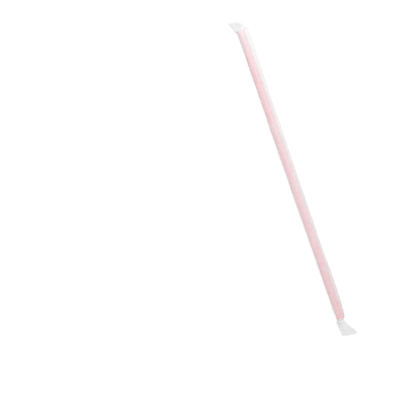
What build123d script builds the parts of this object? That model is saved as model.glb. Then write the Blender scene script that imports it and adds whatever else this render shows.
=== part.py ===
# Wrapped drinking straw: a plastic tube in a loose paper sleeve whose two ends are pressed flat.
# Millimetres. +X runs along the straw, +Z is up, the origin is on the table under the middle of the straw.
import os
from math import atan2, cos, pi, sin

from build123d import *

# Straw
straw_diameter = 5.8
straw_wall = 0.18
straw_length = 260.0

# Paper web
paper = 0.05  # one ply
paper_ease = 8.8  # how much longer the way round the sleeve is than the way round the straw
lap_width = 2.8  # doubled strip where the web is glued over itself, on the underside
straw_clearance = 0.05  # air between the straw and the paper nearest to it
slit = 0.02  # air left between the plies where a seal begins
slit_margin = 0.6  # joined border on either side of that air

# Sleeve: it hugs the straw from its start, then slackens towards a gathered neck at the far end.
overrun = 0.6  # sleeve past each end of the straw
hug_run = 30.6  # from the start of the sleeve
slack_run = 60.0  # from the end of the hugging run
slack = 0.35  # how much wider than hugging the round side is there
loose_run = 9.6  # back from the far end of the sleeve
loose = 0.65
neck_fold = 0.4  # fold edge past the side of the straw at the neck

# Pressed end at the start: drawn aside towards the round side
start_fall = 5.6  # from the sleeve down to the seal
start_seal = 5.2  # from the seal to the cut
start_seal_side = -0.5  # middle of the band beside the straw
start_seal_gather = 1.7  # how much narrower than flat it is drawn
start_cut_side = -2.8
start_cut_gather = 1.7

# Pressed end at the far end: a fan that opens from the neck
far_fall = 7.0
far_seal = 8.0
far_seal_side = 1.3
far_seal_gather = 3.7
far_cut_side = 3.3
far_cut_gather = 0.6
far_slant = 0.17  # run of the cut along X for each millimetre across

# Height of the two pleats in each pressed end
seal_ridge = 1.1
cut_ridge = 0.5

girth = pi * straw_diameter + paper_ease
hug_radius = straw_diameter / 2 + straw_clearance + paper
sleeve_end = straw_length / 2 + overrun
plies = 2 * paper + slit


def fold_reach(radius):
    """How far the fold edge lies from the straw so that the sleeve keeps its girth."""
    low = radius
    high = girth / 2
    while high - low > paper / 100:
        middle = (low + high) / 2
        around = 2 * middle + radius * (pi + 2 * atan2(radius, middle))
        if around > girth:
            high = middle
        else:
            low = middle
    return low


def sleeve_wire(x, radius, reach, inset):
    """Section of the sleeve: four arcs round the straw, drawn by two flats to a fold on the table."""
    rim = radius - inset
    centre = paper + radius
    full_arc = pi + 2 * atan2(radius, reach)
    turns = [full_arc * (step / 8 - 1) for step in range(9)]
    rounds = [Vector(x, rim * sin(turn), centre - rim * cos(turn)) for turn in turns]
    fold = Vector(x, reach * rim / radius, centre - rim)
    upper_middle = (fold + rounds[0]) / 2
    lower_middle = (fold + rounds[-1]) / 2
    upper = [Edge.make_line(fold, upper_middle), Edge.make_line(upper_middle, rounds[0])]
    arcs = [Edge.make_three_point_arc(*rounds[step : step + 3]) for step in range(0, 8, 2)]
    lower = [Edge.make_line(rounds[-1], lower_middle), Edge.make_line(lower_middle, fold)]
    return Wire(upper + arcs + lower)


def pressed_wire(x, side, gather, ridge, depth, base=0.0, slant=0.0, margin=0.0):
    """Section of a pressed end: two plies together in two low pleats, folded at both sides."""
    width = girth / 2 - gather
    quarter = width / 4
    edge = margin / quarter

    def point(step, lift):
        y = side + width / 2 - quarter * step
        pleat = ridge * (1 - abs(step % 2 - 1))
        return Vector(x + slant * y, y, base + pleat + lift)

    upper = [point(1, depth), point(2, depth), point(3, depth)]
    lower = [point(3, 0), point(2, 0), point(1, 0)]
    fold = point(edge, depth / 2)
    crease = point(4 - edge, depth / 2)
    return Wire.make_polygon([fold] + upper + [crease] + lower, close=True)


def sleeve_wires(inset=0.0):
    """Sections of the sleeve from one end of the straw to the other."""
    hugging = fold_reach(hug_radius)
    slack_radius = hug_radius + slack
    loose_radius = hug_radius + loose
    return [
        sleeve_wire(-sleeve_end, hug_radius, hugging, inset),
        sleeve_wire(-sleeve_end + hug_run, hug_radius, hugging, inset),
        sleeve_wire(-sleeve_end + hug_run + slack_run, slack_radius, fold_reach(slack_radius), inset),
        sleeve_wire(sleeve_end - loose_run, loose_radius, fold_reach(loose_radius), inset),
        sleeve_wire(sleeve_end, hug_radius, hug_radius + neck_fold, inset),
    ]


def start_seal_wire(**layer):
    """Section where the seal at the start begins."""
    return pressed_wire(-sleeve_end - start_fall, start_seal_side, start_seal_gather, seal_ridge, **layer)


def far_seal_wire(**layer):
    """Section where the seal at the far end begins."""
    return pressed_wire(sleeve_end + far_fall, far_seal_side, far_seal_gather, seal_ridge, **layer)


def make_outside():
    """The wrapper as a full body, from cut to cut."""
    start_x = -sleeve_end - start_fall - start_seal
    far_x = sleeve_end + far_fall + far_seal
    start_cut = pressed_wire(start_x, start_cut_side, start_cut_gather, cut_ridge, plies)
    far_cut = pressed_wire(far_x, far_cut_side, far_cut_gather, cut_ridge, plies, slant=far_slant)
    start = [start_cut, start_seal_wire(depth=plies)]
    far = [far_seal_wire(depth=plies), far_cut]
    return Solid.make_loft(start + sleeve_wires() + far, ruled=True)


def make_inside():
    """The room inside the sleeve, from seal to seal."""
    air = {"depth": slit, "base": paper, "margin": slit_margin}
    wires = [start_seal_wire(**air)] + sleeve_wires(inset=paper) + [far_seal_wire(**air)]
    return Solid.make_loft(wires, ruled=True)


def make_lap():
    """Second layer of paper under the sleeve, which the whole part rests on."""
    return Box(straw_length, lap_width, paper, align=(Align.CENTER, Align.MIN, Align.MIN))


def make_wrapper():
    """The paper sleeve with its lap and pressed ends."""
    return make_outside() - make_inside() + make_lap()


def make_straw():
    """The tube, lying in the bottom of the sleeve."""
    centre = 2 * paper + straw_clearance + straw_diameter / 2
    across = Plane((-straw_length / 2, 0, centre), x_dir=(0, 1, 0), z_dir=(1, 0, 0))
    ring = Circle(straw_diameter / 2) - Circle(straw_diameter / 2 - straw_wall)
    return extrude(across * ring, straw_length)


os.makedirs("parts", exist_ok=True)
export_step(make_straw(), "parts/straw.step")
export_step(make_wrapper(), "parts/wrapper.step")
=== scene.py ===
import math

import bpy
import numpy as np
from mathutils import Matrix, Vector, noise


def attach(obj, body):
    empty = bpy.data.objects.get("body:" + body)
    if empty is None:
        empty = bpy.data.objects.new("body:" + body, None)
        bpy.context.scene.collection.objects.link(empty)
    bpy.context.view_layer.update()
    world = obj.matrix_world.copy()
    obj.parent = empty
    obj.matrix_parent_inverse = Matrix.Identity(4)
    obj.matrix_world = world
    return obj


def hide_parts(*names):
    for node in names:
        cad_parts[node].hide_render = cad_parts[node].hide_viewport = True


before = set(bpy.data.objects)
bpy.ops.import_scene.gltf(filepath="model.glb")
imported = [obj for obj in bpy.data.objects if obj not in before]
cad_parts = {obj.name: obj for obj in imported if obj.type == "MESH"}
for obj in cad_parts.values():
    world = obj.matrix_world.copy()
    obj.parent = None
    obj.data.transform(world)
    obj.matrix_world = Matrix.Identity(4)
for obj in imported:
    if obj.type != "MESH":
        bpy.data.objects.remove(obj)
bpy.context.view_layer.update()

mm = 0.001
scene = bpy.context.scene
scene.view_settings.view_transform = "Standard"
print("frame loaded with", sorted(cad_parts))


def fromHex(code):
    parts = [int(code[at:at + 2], 16) / 255 for at in (0, 2, 4)]
    linear = [c / 12.92 if c <= 0.04045 else ((c + 0.055) / 1.055) ** 2.4 for c in parts]
    return (*linear, 1.0)


def addNode(tree, kind, values=None, links=None, **settings):
    node = tree.nodes.new(kind)
    for name, value in settings.items():
        setattr(node, name, value)
    for socket, value in (values or {}).items():
        node.inputs[socket].default_value = value
    for socket, source in (links or {}).items():
        tree.links.new(source, node.inputs[socket])
    return node


def newMaterial(name):
    material = bpy.data.materials.new(name)
    material.use_nodes = True
    material.node_tree.nodes.clear()
    return material, material.node_tree


# Camera: straight down, with the frame turned so that the straw leans as it does in the picture
cameraSet = {
    "lens": 100.0,
    "sensor": 36.0,
    "frameWidth": 342.05,  # mm across the picture at the height of the straw
    "aim": (-5.64, -80.12, 3.0),
    "turn": 70.78,
    "clip": (0.01, 50.0),  # m
}


def makeCamera(c):
    data = bpy.data.cameras.new("photoCamera")
    data.lens = c["lens"]
    data.sensor_width = c["sensor"]
    data.clip_start, data.clip_end = c["clip"]
    camera = bpy.data.objects.new("photoCamera", data)
    scene.collection.objects.link(camera)
    away = c["frameWidth"] * c["lens"] / c["sensor"]
    x, y, z = c["aim"]
    camera.location = Vector((x, y, z + away)) * mm
    camera.rotation_euler = (0, 0, math.radians(c["turn"]))
    scene.camera = camera


makeCamera(cameraSet)
print("camera set")


# Paper sleeve. The lengths are the solid's own, in mm, with the gathers, ribs and creases added.
sleeve = {
    "strawRadius": 2.9,
    "strawHalf": 130.0,
    "strawHeight": 3.05,  # axis above the table
    "keepOff": 0.02,  # least air between the straw and the paper
    "keepPast": 0.1,  # how far past the straw's ends that holds
    "girth": math.pi * 5.8 + 8.8,  # way round the sleeve, lap not counted
    "hugRadius": 3.0,  # of the paper where it hugs the straw
    "lap": 2.8,
    "lapEase": 3,  # points over which the web slips under itself
    "ply": 0.045,
    "mitre": (0.1, 3.5),  # sharpest half angle that a ply follows, and how much thicker it may get there
    "layer": 0.055,  # step from one layer of the lap to the next
    "slit": 0.08,  # air between the plies of a pressed end, enough for its slopes
    "top": 6.0,  # the paper's height where it rests on the straw
    "rest": 0.6,  # how far slack paper settles on the straw, 1 is all the way
    "gathers": 5,  # on each ply
    "gatherSway": (0.12, 1.9),  # how far they wander, and how often
    "gatherSide": (-0.75, 0.5),  # they start at this sine below the axis, and are full after this much more
    "perEighth": 11,  # points on each eighth of the way round
    "bodyStep": 1.0,  # along the straw
    "tailStep": 0.28,
    "bodyEnds": (-124.0, 112.0),  # the wide step holds between these
    "farRun": 33.0,  # sets the number of points past the body
    "startCut": -140.75,  # middle of each cut
    "farCut": 146.1,
    "sharp": 55.0,  # degrees at which a fold shows as an edge
}
around = 8 * sleeve["perEighth"]
# 0 at the fold, 2 to 6 over the straw, back along the table
eighths = np.arange(around) / sleeve["perEighth"]
halves = np.minimum(eighths, 8 - eighths)  # the same number on the upper and the lower ply


def foldReach(radius):
    # how far beside the straw the fold lies when the paper goes round it once
    low, high = radius, sleeve["girth"] / 2
    for _ in range(40):
        middle = (low + high) / 2
        if 2 * middle + radius * (math.pi + 2 * math.atan2(radius, middle)) > sleeve["girth"]:
            high = middle
        else:
            low = middle
    return low


def ramp(values, start, way):
    # 0 at the start and 1 after the way, which is below 0 where the ramp runs backwards
    return np.clip((values - start) / way, 0, 1)


def crisp(turns):
    # straight-sided folds, 0 in the valleys and 1 on the ridges
    return np.abs(2 * (turns % 1) - 1)


def gathers(shift):
    far, often = sleeve["gatherSway"]
    return crisp(sleeve["gathers"] * halves / 4 + far * np.sin(often * halves + shift) + shift)


def roundSection(x, radius, reach, rise, aside=0.0, sag=0.0, crown=0.0, gather=0.0, shift=0.0):
    # round the straw, with both plies drawn straight to a fold beside it
    s = sleeve
    height = 2 * radius - s["rest"] * (2 * radius - s["top"])  # slack paper settles on the straw
    drop = radius - rise * 2 * radius / height
    lean = math.atan2(drop, reach)
    spread = math.acos(radius / math.hypot(reach, drop))
    pastTop = math.pi / 2 + lean - spread
    pastBottom = math.pi / 2 - lean - spread
    turn = -math.pi - pastTop + (math.pi + pastTop + pastBottom) * (np.clip(eighths, 2, 6) - 2) / 4
    y = radius * np.sin(turn)
    z = radius - radius * np.cos(turn)
    upper, lower = eighths < 2, eighths > 6
    along = np.abs(eighths - 4) / 2 - 1  # 1 at the fold, 0 where the paper leaves the straw
    for flat in (upper, lower):
        y[flat] += (reach - y[flat]) * along[flat]
        z[flat] += (radius - drop - z[flat]) * along[flat]
    # the upper side of the fin is a little hollow, or full where the sag is below 0
    hollow = sag * np.sin(math.pi * along[upper]) ** 2
    y[upper] -= hollow * math.sin(pastTop)
    z[upper] -= hollow * math.cos(pastTop)
    z *= height / (2 * radius)
    outY, outZ = y, z - height / 2
    size = np.hypot(outY, outZ)
    free = ramp(outZ / size, *s["gatherSide"])
    out = gather * gathers(shift) * free * free * (3 - 2 * free)
    lift = s["layer"] + crown * np.clip(outZ / radius, 0, 1) ** 2
    return np.stack([np.full(around, x), y + aside + out * outY / size, z + lift + out * outZ / size], 1)


def archSection(x, left, right, height, gather, shift):
    # past the end of the straw: a low arch that stands on the table
    turn = math.pi * halves / 4
    y = (left + right) / 2 + (right - left) / 2 * np.cos(turn)
    rise = np.where(eighths < 4, np.sin(turn), 0)
    z = sleeve["layer"] + rise * (height + gather * gathers(shift))
    return np.stack([np.full(around, x), y, z], 1)


def pressedSection(x, left, right, slant=0.0):
    # two plies flat on the table
    y = right + (left - right) * halves / 4
    depth = 2 * sleeve["ply"] + sleeve["slit"]
    top = np.where(eighths < 4, 1.0, 0.0)
    top[0] = top[around // 2] = 0.5
    return np.stack([x + slant * (y - (left + right) / 2), y, sleeve["layer"] + depth * top], 1)


def sleeveSections():
    return [
        pressedSection(sleeve["startCut"], -8.65, 3.1, slant=0.095),
        pressedSection(-136.8, -6.8, 5.3),
        archSection(-133.4, -5.7, 6.5, 1.1, gather=0.2, shift=2.0),
        archSection(-131.6, -4.9, 7.2, 4.6, gather=0.1, shift=2.0),
        roundSection(-130.2, 3.05, 8.0, rise=0.6, aside=-0.5, sag=-0.5, crown=0.8),
        roundSection(-127.5, 3.05, 7.8, rise=0.9, aside=-0.15, sag=-0.5, crown=0.6),
        roundSection(-121, 3.03, 7.7, rise=1.0, sag=-0.5, crown=0.3),
        roundSection(-112, 3.05, 7.6, rise=1.1, sag=-0.5),
        roundSection(-100, 3.13, 7.3, rise=1.3, sag=-0.5),
        roundSection(-70, 3.28, 6.6, rise=1.7, sag=-0.5),
        roundSection(-35, 3.45, 6.3, rise=2.0, sag=-0.5),
        roundSection(15, 3.5, 5.9, rise=2.1, aside=-0.1, sag=-0.4),
        roundSection(50, 3.48, 5.6, rise=1.9, aside=-0.05, sag=-0.4),
        roundSection(72, 3.45, 5.5, rise=1.8, aside=-0.05, sag=-0.4),
        roundSection(97, 3.32, 6.1, rise=1.5, aside=-0.1, sag=-0.5),
        roundSection(112, 3.25, 5.7, rise=1.4, aside=-0.12, sag=-0.4),
        roundSection(121, 3.2, 5.3, rise=1.2, aside=-0.12, sag=-0.3, gather=0.06, shift=0.4),
        roundSection(127.4, 3.12, 4.7, rise=0.8, aside=-0.1, sag=-0.2, gather=0.1, shift=0.4),
        roundSection(130.3, 3.05, 3.8, rise=0.3, gather=0.06, shift=0.4),
        archSection(131.7, -4.1, 2.8, 5.0, gather=0.16, shift=0.4),
        archSection(134.6, -4.25, 3.9, 2.9, gather=0.35, shift=0.4),
        archSection(138.2, -3.9, 5.9, 0.9, gather=0.25, shift=0.4),
        pressedSection(143.2, -3.4, 9.3, slant=0.07),
        pressedSection(sleeve["farCut"], -3.2, 9.7, slant=0.17),
    ]


def smoothThrough(at, values, wanted):
    # cubic through the sections that never overshoots them
    step = np.diff(at)[:, None]
    rise = np.diff(values, axis=0) / step
    slope = np.zeros_like(values)
    same = rise[1:] * rise[:-1] > 0
    before, after = step[:-1], step[1:]
    with np.errstate(divide="ignore", invalid="ignore"):
        mean = 3 * (before + after) / ((2 * after + before) / rise[:-1] + (after + 2 * before) / rise[1:])
    slope[1:-1] = np.where(same, mean, 0)
    slope[0], slope[-1] = rise[0], rise[-1]
    place = np.clip(np.searchsorted(at, wanted) - 1, 0, len(at) - 2)
    gap = (at[place + 1] - at[place])[:, None]
    t = ((wanted - at[place]) / (at[place + 1] - at[place]))[:, None]
    return (
        (2 * t ** 3 - 3 * t ** 2 + 1) * values[place]
        + (t ** 3 - 2 * t ** 2 + t) * gap * slope[place]
        + (3 * t ** 2 - 2 * t ** 3) * values[place + 1]
        + (t ** 3 - t ** 2) * gap * slope[place + 1]
    )


def stations():
    # close together in the pressed ends, wide apart along the straw
    s = sleeve
    bodyStart, bodyEnd = s["bodyEnds"]
    start = np.arange(s["startCut"], bodyStart, s["tailStep"])
    middle = np.arange(start[-1] + s["bodyStep"] / 2, bodyEnd, s["bodyStep"])
    far = np.linspace(middle[-1] + s["tailStep"], s["farCut"], int(s["farRun"] / s["tailStep"]))
    return np.concatenate([start, middle, far])


def gridNormals(grid):
    # outward normals of the closed loops
    along = np.gradient(grid, axis=0)
    way = np.roll(grid, -1, 1) - np.roll(grid, 1, 1)
    normal = np.cross(way, along)
    return normal / np.linalg.norm(normal, axis=2, keepdims=True)


# What the loose paper does besides going smoothly round the straw
crumple = {
    "bodyEnd": (129.0, -8.0),  # mm from the middle where it stops, and over how much it fades in
    "overFrom": (0.4, 1.2),  # eighths where the paper over the straw begins, and over how much
    "overTo": (4.9, -0.8),
    "slow": (16.0, 4.5, 11.3),  # wide patches: mm along and across, and their place in the noise
    "slowLift": (0.4, 0.15),  # how far they lift the paper, and what is added to the noise first
    "slowFin": 0.3,  # how far they move the fin beside the straw
    "fine": (5.0, 2.2, 47.9),  # small patches, in the same way
    "fineLift": 0.12,
    "fineFin": 0.12,
    "ridge": (0.35, 2.35, 0.5),  # where the paper leaves the straw for the fold: height, eighth, width
    "ridgeEnd": (100.0, -60.0),  # mm along where it stops, and over how much it fades in
    "creaseWidth": 0.9,
    "creaseFade": 0.6,  # below 1 a crease keeps its depth nearly to its ends
    "creaseTips": (0.02, 0.98),  # share of its length at which the depth is held
    # where each crease starts and ends (mm along, eighths round) and how deep it is; minus goes in
    "creases": (
        ((-118, 0.2), (-109, 1.7), -0.22),
        ((-97, 1.5), (-88, 0.4), -0.18),
        ((-61, 0.2), (-55, 1.3), -0.2),
        ((-49, 2.6), (-36, 4.2), 0.14),
        ((-22, 1.6), (-11, 0.5), -0.2),
        ((8, 0.3), (12, 1.6), -0.24),
        ((27, 3.1), (41, 4.6), 0.15),
        ((52, 0.4), (66, 1.5), -0.2),
        ((79, 2.2), (88, 3.6), 0.16),
        ((98, 0.6), (107, 2.3), -0.16),
        ((109, 2.4), (128, 3.1), 0.2),
        ((112, 4.4), (129, 3.9), 0.2),
    ),
}


def noiseField(grid, alongPatch, acrossPatch, offset):
    # smooth noise that runs along the web and closes round it
    ring = sleeve["girth"] / (2 * math.pi) / acrossPatch
    field = np.empty(grid.shape[:2])
    for row in range(grid.shape[0]):
        x = grid[row, 0, 0] / alongPatch
        for column in range(grid.shape[1]):
            angle = 2 * math.pi * eighths[column] / 8
            field[row, column] = noise.noise((x + offset, ring * math.cos(angle), ring * math.sin(angle)))
    return field


def creaseField(grid):
    c = crumple
    across = sleeve["girth"] / 8
    field = np.zeros(grid.shape[:2])
    x = grid[:, :, 0]
    y = np.broadcast_to(eighths, field.shape) * across
    for (x0, e0), (x1, e1), depth in c["creases"]:
        line = np.array([x1 - x0, (e1 - e0) * across])
        reach = line @ line
        t = ((x - x0) * line[0] + (y - e0 * across) * line[1]) / reach
        inside = np.clip(t, 0, 1)
        away = np.hypot(x - x0 - inside * line[0], y - e0 * across - inside * line[1])
        fade = np.sin(math.pi * np.clip(t, *c["creaseTips"])) ** c["creaseFade"]
        field += depth * np.exp(-np.abs(away) / c["creaseWidth"]) * fade
    return field


# What the pressed ends do besides lying flat
pressed = {
    "foldFrom": (-141.2, -8.3),  # slanting fold in the start end: its two ends, mm
    "foldTo": (-132.3, 6.4),
    "foldBow": 1.3,  # how far it bows towards the cut
    "foldHeight": 4.9,
    "foldGrowth": (0.7, 0.3),  # share of the height where it begins, and what it gains on its way
    "foldEnd": (1.1, -0.35),  # share of its length where it has run out, and over how much it falls
    "foldStop": (-131.2, -1.8),  # mm along where it has to be gone, and over how much it comes up
    "foldSlopes": (5.5, 4.2),  # mm from the fold down to the table, towards the straw and towards the cut
    "foldRound": 0.06,  # roundness of its ridge
    "tailFrom": 131.0,  # mm from the middle where the pressed ends begin
    "fanFrom": ((-124.0, 1.0), (126.0, -1.6)),  # the pleats of each end spread from here
    "fanPleats": (5.5, 7.0),  # pleats for each radian
    "fanSway": (0.2, 9.0),  # how far they wander, and how often
    "fanHeight": (0.08, 0.3),
    "fanRise": (0.0, 2.0),  # mm into the end where they start, and over how much
    "fanFade": (15.0, -11.0),  # mm into the end where they are gone, and over how much
    "fanFlat": 1.5,  # above 1 they flatten sooner
    "fanSlope": 0.08,  # fall towards the far cut
    "fanLength": 9.0,  # mm over which it falls
    "fanPast": 1.0,  # mm from the middle of the slanting cut to its tip
    "fanStart": (132.5, 5.0),  # mm along where the slope sets in, and over how much
    "wander": 0.6,  # how far the facets stray
    "wanderPatch": (9.0, 7.0, 5.5),  # mm along and across, and the place in the noise
    "facets": ((0.6, 4.3, 0.14), (1.9, 5.7, 0.16), (2.8, 3.4, 0.1)),  # creases: direction, mm apart, height
    "reliefRise": (0.0, 3.0),  # mm into the end where facets and ribs start, and over how much
    "startRelief": 1.3,  # they stand higher at the start
    "ribPitch": 1.9,  # the sealing wheel's ribs are about 0.8 mm apart, drawn wider here so that they show
    "ribHeight": 0.08,
    "ribBands": (5.0, 7.0),  # mm from each cut
    "ribFade": -2.0,
}


def pressedRelief(grid):
    # heights that both plies of the pressed ends share
    p = pressed
    x, y = grid[:, :, 0], grid[:, :, 1]
    begin, line = np.array(p["foldFrom"]), np.subtract(p["foldTo"], p["foldFrom"])
    length = math.hypot(*line)
    along = ((x - begin[0]) * line[0] + (y - begin[1]) * line[1]) / length ** 2
    away = ((x - begin[0]) * line[1] - (y - begin[1]) * line[0]) / length  # plus is on the straw's side
    within = np.clip(along, 0, 1)
    away = away + 4 * p["foldBow"] * within * (1 - within)
    toStraw, toCut = p["foldSlopes"]
    fall = np.where(away > 0, away / toStraw, -away / toCut)
    tent = np.clip(1 + p["foldRound"] - np.sqrt(fall ** 2 + p["foldRound"] ** 2), 0, 1)
    low, gain = p["foldGrowth"]
    rise = (low + gain * within) * ramp(along, *p["foldEnd"])
    relief = p["foldHeight"] * tent * rise * ramp(x, *p["foldStop"])
    toTip = np.clip(sleeve["farCut"] + p["fanPast"] - x, 0, p["fanLength"])
    relief += p["fanSlope"] * toTip * ramp(x, *p["fanStart"])
    beyond = np.abs(x) - p["tailFrom"]
    far, often = p["fanSway"]
    for side, (apexX, apexY), pleats, height in zip((-1, 1), p["fanFrom"], p["fanPleats"], p["fanHeight"]):
        spread = np.arctan2(y - apexY, side * (x - apexX))
        fold = crisp(pleats * spread + far * np.sin(often * spread))
        fade = ramp(beyond, *p["fanRise"]) * ramp(beyond, *p["fanFade"]) ** p["fanFlat"]
        relief += np.where(side * x > 0, height * fold * fade, 0)
    wide, high, deep = p["wanderPatch"]
    stray = np.array([[noise.noise((a / wide, b / high, deep)) for a, b in zip(*row)] for row in zip(x, y)])
    tail = ramp(beyond, *p["reliefRise"]) * np.where(x < 0, p["startRelief"], 1)
    for angle, apart, height in p["facets"]:
        across = x * math.cos(angle) + y * math.sin(angle)
        relief += tail * height * crisp(across / apart + p["wander"] * stray)
    for fromCut, band in zip((x - x[:1], x[-1:] - x), p["ribBands"]):
        ribs = np.cos(2 * math.pi * fromCut / p["ribPitch"])
        relief += tail * p["ribHeight"] * ribs * ramp(fromCut, band, p["ribFade"])
    return relief


def keepOffStraw(grid):
    # the paper may touch the straw, but not go into it
    s = sleeve
    y, z = grid[:, :, 1], grid[:, :, 2] - s["strawHeight"]
    need = s["strawRadius"] + s["ply"] + s["keepOff"]
    beside = np.abs(grid[:, :, 0]) < s["strawHalf"] + s["keepPast"]
    short = np.where(beside, need / np.hypot(y, z), 1).clip(1)
    grid[:, :, 1], grid[:, :, 2] = y * short, z * short + s["strawHeight"]


def shapeSleeve():
    c = crumple
    sections = sleeveSections()
    at = np.array([section[:, 0].mean() for section in sections])
    at[0], at[-1] = sleeve["startCut"], sleeve["farCut"]
    where = stations()
    grid = smoothThrough(at, np.stack(sections).reshape(len(at), -1), where).reshape(-1, around, 3)
    where = where[:, None]
    body = ramp(np.abs(where), *c["bodyEnd"])  # 0 in the pressed ends
    fin = np.where(eighths < 2, np.sin(math.pi * eighths / 2), 0)
    over = ramp(eighths, *c["overFrom"]) * ramp(eighths, *c["overTo"])
    slow = noiseField(grid, *c["slow"])
    fine = noiseField(grid, *c["fine"])
    slowLift, slowBias = c["slowLift"]
    lift = np.clip(slow + slowBias, 0, 1) * slowLift + np.clip(fine, 0, 1) * c["fineLift"]
    ridgeHeight, ridgeAt, ridgeWidth = c["ridge"]
    ridge = ridgeHeight * np.exp(-((eighths - ridgeAt) / ridgeWidth) ** 2) * ramp(where, *c["ridgeEnd"])
    flutter = fin * (c["slowFin"] * slow + c["fineFin"] * fine)
    out = body * (over * lift + ridge + flutter + creaseField(grid) * (over + fin).clip(0, 1))
    grid = grid + gridNormals(grid) * out[:, :, None]
    grid[:, :, 2] = np.maximum(grid[:, :, 2] + pressedRelief(grid), sleeve["layer"])
    keepOffStraw(grid)
    return grid


def webLayers(grid):
    # the web starts at the lap's inner edge, goes once round, and passes under itself
    s = sleeve
    edge = round(around * (6 + 2 * s["lap"] / foldReach(s["hugRadius"])) / 8)
    lapPoints = edge - around * 6 // 8
    order = [(edge - step) % around for step in range(around + lapPoints + 1)]
    normal = gridNormals(grid)
    before = np.roll(grid, 1, 1) - grid
    after = np.roll(grid, -1, 1) - grid
    before /= np.linalg.norm(before, axis=2, keepdims=True)
    after /= np.linalg.norm(after, axis=2, keepdims=True)
    halfAngle = np.arccos(np.clip((before * after).sum(2), -1, 1)) / 2
    sharpest, thickest = s["mitre"]
    depth = s["ply"] * np.clip(1 / np.sin(np.maximum(halfAngle, sharpest)), 1, thickest)
    outer = grid[:, order]
    inner = (grid - normal * depth[:, :, None])[:, order]
    step = ramp(np.arange(len(order)), around - s["lapEase"], s["lapEase"]) * s["layer"]
    drop = normal[:, order] * step[None, :, None]
    return outer + drop, inner + drop


def webFaces(rows, columns):
    # outer side, inner side, and the four edges of the web between them
    index = np.arange(rows * columns).reshape(rows, columns)
    under = index + rows * columns
    outside = [index[:-1, :-1], index[1:, :-1], index[1:, 1:], index[:-1, 1:]]
    inside = [under[:-1, :-1], under[:-1, 1:], under[1:, 1:], under[1:, :-1]]
    faces = [np.stack(corners, 2).reshape(-1, 4) for corners in (outside, inside)]
    for line, lower, flip in (
        (index[0], under[0], False),
        (index[-1], under[-1], True),
        (index[:, 0], under[:, 0], True),
        (index[:, -1], under[:, -1], False),
    ):
        quads = np.stack([line[:-1], line[1:], lower[1:], lower[:-1]], 1)
        faces.append(quads[:, ::-1] if flip else quads)
    return np.concatenate(faces)


# Where the ends are narrower than the web, the surplus lies in folds, and more plies let less through
folds = {
    "gain": 2.0,  # how soon surplus width counts as folds
    "fromEnd": (-1.2, 1.8),  # mm past the straw's ends where they begin, and over how much
    "overStart": 0.3,  # at the start they run on over the end of the straw, as much as this
    "overRun": (-90.0, -36.0),  # mm along where that begins, and over how much
}


def makeSleeve():
    s = sleeve
    grid = shapeSleeve()
    outer, inner = webLayers(grid)
    rows, columns = outer.shape[:2]
    points = np.concatenate([outer.reshape(-1, 3), inner.reshape(-1, 3)])
    points[:, 2] = np.maximum(points[:, 2], 0)
    mesh = bpy.data.meshes.new("paperSleeve")
    mesh.from_pydata((points * mm).tolist(), [], webFaces(rows, columns).tolist())
    mesh.shade_smooth()
    mesh.set_sharp_from_angle(angle=math.radians(s["sharp"]))
    # how far the paper is from the straw, in mm, for the paper to show it more or less clearly
    off = np.hypot(points[:, 1], points[:, 2] - s["strawHeight"]) - s["strawRadius"]
    past = np.abs(points[:, 0]) - s["strawHalf"]
    gap = np.hypot(off.clip(0), past.clip(0))
    girth = np.linalg.norm(np.roll(grid, -1, 1) - grid, axis=2).sum(1)
    surplus = np.repeat(np.clip(folds["gain"] * (s["girth"] / girth - 1), 0, 1), columns)
    overlap = folds["overStart"] * ramp(points[:, 0], *folds["overRun"])
    gathered = np.maximum(np.concatenate([surplus, surplus]) * ramp(past, *folds["fromEnd"]), overlap)
    for name, values in (("strawGap", gap), ("gathered", gathered)):
        mesh.attributes.new(name, "FLOAT", "POINT").data.foreach_set("value", values.astype(np.float32))
    piece = bpy.data.objects.new("paper_sleeve", mesh)
    scene.collection.objects.link(piece)
    nearest = round(float(gap.min()), 3)
    print("paper sleeve:", len(mesh.polygons), "faces, nearest to the straw", nearest, "mm")
    return piece


noiseSpan = (0.3, 0.7)  # most values of a noise texture lie between these

# Bleached wrapping paper, thin and machine-glazed: matt white, with cloudy patches where the fibres lie
# closer, and the straw's red coming through where the paper lies on it, helped there by a faint painted mauve
# tint
paper = {
    "dense": "fdfdfd",
    "thin": "f9f9f9",
    "paintedTintOverStraw": "fffbff",  # painted tint: the paper turns faintly mauve where it lies on the straw, standing in for the straw's red showing through
    "cloud": 3.4,  # mm across a patch of fibres
    "cloudDetail": (3.0, 0.55),  # finer layers, and how strong they are
    "cloudClear": (0.88, 1.12),  # how clear the dense and the thin patches are beside the mean
    "fibre": (7.0, 1.1),  # mm along and across; real fibres are 1.5 by 0.03, too fine to show
    "fibreDetail": (4.0, 0.6),  # finer layers, and how far they bend
    "fibreRelief": 0.03,
    "fibreBump": 0.5,
    "roughness": (0.68, 0.88),
    "ior": 1.5,
    "specular": 0.25,
    "clearOn": 0.365,  # share that shows what the paper lies on
    "clearOff": 0.07,  # the same where it stands away
    "glowOn": 0.045,  # share of the rest that glows with the light behind it
    "glowOff": 0.17,
    "touch": 0.05,  # mm at which the paper counts as lying on the straw
    "standOff": 2.1,  # mm at which the straw has blurred away
    "gathered": 0.12,  # share of both that is left where the paper lies in folds
}


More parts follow.
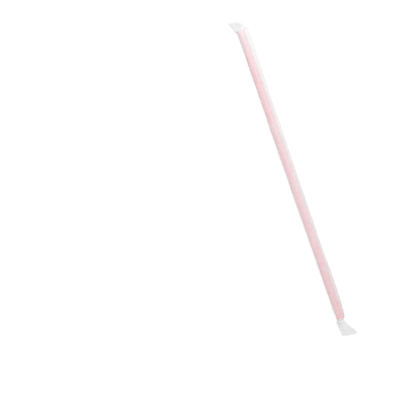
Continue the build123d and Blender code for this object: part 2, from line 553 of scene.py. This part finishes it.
def makePaper(p):
    material, tree = newMaterial("bleachedWrappingPaper")
    place = addNode(tree, "ShaderNodeTexCoord").outputs["Object"]
    layers, strong = p["cloudDetail"]
    cloud = addNode(
        tree,
        "ShaderNodeTexNoise",
        {"Scale": 1 / (p["cloud"] * mm), "Detail": layers, "Roughness": strong},
        {"Vector": place},
    ).outputs["Fac"]
    along, wide = p["fibre"]
    stretched = addNode(
        tree,
        "ShaderNodeMapping",
        {"Scale": (1 / (along * mm), 1 / (wide * mm), 1 / (wide * mm))},
        {"Vector": place},
    ).outputs["Vector"]
    layers, bent = p["fibreDetail"]
    fibre = addNode(
        tree,
        "ShaderNodeTexNoise",
        {"Scale": 1.0, "Detail": layers, "Distortion": bent},
        {"Vector": stretched},
    ).outputs["Fac"]
    gap = addNode(tree, "ShaderNodeAttribute", attribute_name="strawGap").outputs["Fac"]
    near = addNode(
        tree,
        "ShaderNodeMapRange",
        {"From Min": p["touch"], "From Max": p["standOff"], "To Min": 1.0, "To Max": 0.0},
        {"Value": gap},
        interpolation_type="SMOOTHSTEP",
    ).outputs["Result"]
    # a Mix node keeps one set of sockets for each kind of data, so the colours go in by index
    colour = addNode(
        tree, "ShaderNodeMix", {6: fromHex(p["dense"]), 7: fromHex(p["thin"])}, {0: cloud}, data_type="RGBA"
    ).outputs[2]
    # painted tint: where the paper lies on the straw its colour is turned faintly mauve, standing in for the
    # straw's red seen through it
    colour = addNode(
        tree,
        "ShaderNodeMix",
        {7: fromHex(p["paintedTintOverStraw"])},
        {0: near, 6: colour},
        data_type="RGBA",
        blend_type="MULTIPLY",
    ).outputs[2]
    clear = addNode(
        tree, "ShaderNodeMapRange", {"To Min": p["clearOff"], "To Max": p["clearOn"]}, {"Value": near}
    ).outputs["Result"]
    low, high = noiseSpan
    least, most = p["cloudClear"]
    patchy = addNode(
        tree,
        "ShaderNodeMapRange",
        {"From Min": low, "From Max": high, "To Min": least, "To Max": most},
        {"Value": cloud},
    ).outputs["Result"]
    clear = addNode(tree, "ShaderNodeMath", links={0: clear, 1: patchy}, operation="MULTIPLY").outputs[0]
    folded = addNode(tree, "ShaderNodeAttribute", attribute_name="gathered").outputs["Fac"]
    single = addNode(
        tree, "ShaderNodeMapRange", {"To Min": 1.0, "To Max": p["gathered"]}, {"Value": folded}
    ).outputs["Result"]
    clear = addNode(tree, "ShaderNodeMath", links={0: clear, 1: single}, operation="MULTIPLY").outputs[0]
    glow = addNode(
        tree, "ShaderNodeMapRange", {"To Min": p["glowOff"], "To Max": p["glowOn"]}, {"Value": near}
    ).outputs["Result"]
    glow = addNode(tree, "ShaderNodeMath", links={0: glow, 1: single}, operation="MULTIPLY").outputs[0]
    least, most = p["roughness"]
    dull = addNode(
        tree,
        "ShaderNodeMapRange",
        {"From Min": low, "From Max": high, "To Min": least, "To Max": most},
        {"Value": fibre},
    ).outputs["Result"]
    bump = addNode(
        tree,
        "ShaderNodeBump",
        {"Strength": p["fibreBump"], "Distance": p["fibreRelief"] * mm},
        {"Height": fibre},
    ).outputs["Normal"]
    face = addNode(
        tree,
        "ShaderNodeBsdfPrincipled",
        {"IOR": p["ior"], "Specular IOR Level": p["specular"]},
        {"Base Color": colour, "Roughness": dull, "Normal": bump},
    ).outputs[0]
    through = addNode(tree, "ShaderNodeBsdfTranslucent", links={"Color": colour, "Normal": bump}).outputs[0]
    sight = addNode(tree, "ShaderNodeBsdfTransparent").outputs[0]
    lit = addNode(tree, "ShaderNodeMixShader", links={0: glow, 1: face, 2: through}).outputs[0]
    seen = addNode(tree, "ShaderNodeMixShader", links={0: clear, 1: lit, 2: sight}).outputs[0]
    # the ply is a thin solid: it scatters where light goes in, and the face where light comes out lets it by
    inside = addNode(tree, "ShaderNodeNewGeometry").outputs["Backfacing"]
    ply = addNode(tree, "ShaderNodeMixShader", links={0: inside, 1: seen, 2: sight}).outputs[0]
    addNode(tree, "ShaderNodeOutputMaterial", links={"Surface": ply})
    material.use_backface_culling = True
    return material


paperSleeve = makeSleeve()
paperSleeve.data.materials.append(makePaper(paper))
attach(paperSleeve, "root")
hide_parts("wrapper")
print("paper dressed")


# Extruded polypropylene: strong glossy red, drawn through a die, so faint lines run along it
strawPlastic = {
    "deep": "f41e3a",
    "bright": "ff2c47",
    "line": (90.0, 0.5),  # mm along and across one drawn line
    "lineDetail": 2.0,
    "gloss": (0.2, 0.32),  # roughness between the lines and on them
    "ior": 1.49,
}


def makeStrawPlastic(p):
    material, tree = newMaterial("extrudedPolypropylene")
    place = addNode(tree, "ShaderNodeTexCoord").outputs["Object"]
    along, wide = p["line"]
    drawn = addNode(
        tree,
        "ShaderNodeMapping",
        {"Scale": (1 / (along * mm), 1 / (wide * mm), 1 / (wide * mm))},
        {"Vector": place},
    ).outputs["Vector"]
    line = addNode(
        tree, "ShaderNodeTexNoise", {"Scale": 1.0, "Detail": p["lineDetail"]}, {"Vector": drawn}
    ).outputs["Fac"]
    tone = addNode(
        tree, "ShaderNodeMix", {6: fromHex(p["deep"]), 7: fromHex(p["bright"])}, {0: line}, data_type="RGBA"
    ).outputs[2]
    low, high = noiseSpan
    least, most = p["gloss"]
    rough = addNode(
        tree,
        "ShaderNodeMapRange",
        {"From Min": low, "From Max": high, "To Min": least, "To Max": most},
        {"Value": line},
    ).outputs["Result"]
    face = addNode(
        tree, "ShaderNodeBsdfPrincipled", {"IOR": p["ior"]}, {"Base Color": tone, "Roughness": rough}
    ).outputs[0]
    addNode(tree, "ShaderNodeOutputMaterial", links={"Surface": face})
    return material


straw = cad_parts["straw"]
redPlastic = makeStrawPlastic(strawPlastic)
for place in straw.material_slots:
    place.material = redPlastic
print("straw dressed")


# White sweep: a matt floor that reads white to the eye and keeps the soft shadow
sweep = {
    "size": 8.0,  # m
    "colour": "e7e7e7",
    "drop": 0.02,  # mm below the part, so that paper and floor never share a plane
    "glow": "ffffff",
    "lift": 0.4,  # white added to sight only
}
# Soft studio light: an even room and one large lamp from the upper right of the picture
light = {
    "colour": "ffffff",
    "room": 0.8,
    "backdrop": 1.0,  # what the eye sees of the room
    "lampSize": 0.3,  # m
    "lampWatts": 1.0,
    "lampAt": (-0.27, 0.15, 0.45),
}


def sightShare(tree):
    # 1 for what the eye, a mirror or clear glass sees; 0 for light that paper or floor scatters
    path = addNode(tree, "ShaderNodeLightPath").outputs
    seen = addNode(
        tree,
        "ShaderNodeMath",
        links={0: path["Is Camera Ray"], 1: path["Is Glossy Ray"]},
        operation="MAXIMUM",
    ).outputs[0]
    clear = addNode(
        tree,
        "ShaderNodeMath",
        links={0: path["Is Transmission Ray"], 1: path["Is Diffuse Ray"]},
        operation="SUBTRACT",
        use_clamp=True,
    ).outputs[0]
    return addNode(tree, "ShaderNodeMath", links={0: seen, 1: clear}, operation="MAXIMUM").outputs[0]


def makeFloor(f):
    half = f["size"] / 2
    corners = [(-half, -half, 0), (half, -half, 0), (half, half, 0), (-half, half, 0)]
    mesh = bpy.data.meshes.new("sweep")
    mesh.from_pydata(corners, [], [(0, 1, 2, 3)])
    floor = bpy.data.objects.new("sweep", mesh)
    floor.location.z = -f["drop"] * mm
    scene.collection.objects.link(floor)
    material, tree = newMaterial("mattWhiteSweep")
    matt = addNode(tree, "ShaderNodeBsdfDiffuse", {"Color": fromHex(f["colour"])}).outputs[0]
    share = addNode(
        tree, "ShaderNodeMath", {1: f["lift"]}, {0: sightShare(tree)}, operation="MULTIPLY"
    ).outputs[0]
    white = addNode(tree, "ShaderNodeEmission", {"Color": fromHex(f["glow"])}, {"Strength": share}).outputs[0]
    both = addNode(tree, "ShaderNodeAddShader", links={0: matt, 1: white}).outputs[0]
    addNode(tree, "ShaderNodeOutputMaterial", links={"Surface": both})
    mesh.materials.append(material)


def makeLight(g):
    world = bpy.data.worlds.new("evenRoom")
    scene.world = world
    world.use_nodes = True
    tree = world.node_tree
    tree.nodes.clear()
    strength = addNode(
        tree,
        "ShaderNodeMapRange",
        {"To Min": g["room"], "To Max": g["backdrop"]},
        {"Value": sightShare(tree)},
    ).outputs["Result"]
    room = addNode(
        tree, "ShaderNodeBackground", {"Color": fromHex(g["colour"])}, {"Strength": strength}
    ).outputs[0]
    addNode(tree, "ShaderNodeOutputWorld", links={"Surface": room})
    data = bpy.data.lights.new("softLamp", "AREA")
    data.size = g["lampSize"]
    data.energy = g["lampWatts"]
    lamp = bpy.data.objects.new("softLamp", data)
    lamp.location = g["lampAt"]
    lamp.rotation_euler = (-Vector(g["lampAt"])).to_track_quat("-Z", "Y").to_euler()
    lamp.visible_camera = False
    scene.collection.objects.link(lamp)


makeFloor(sweep)
makeLight(light)
print("floor and light set")
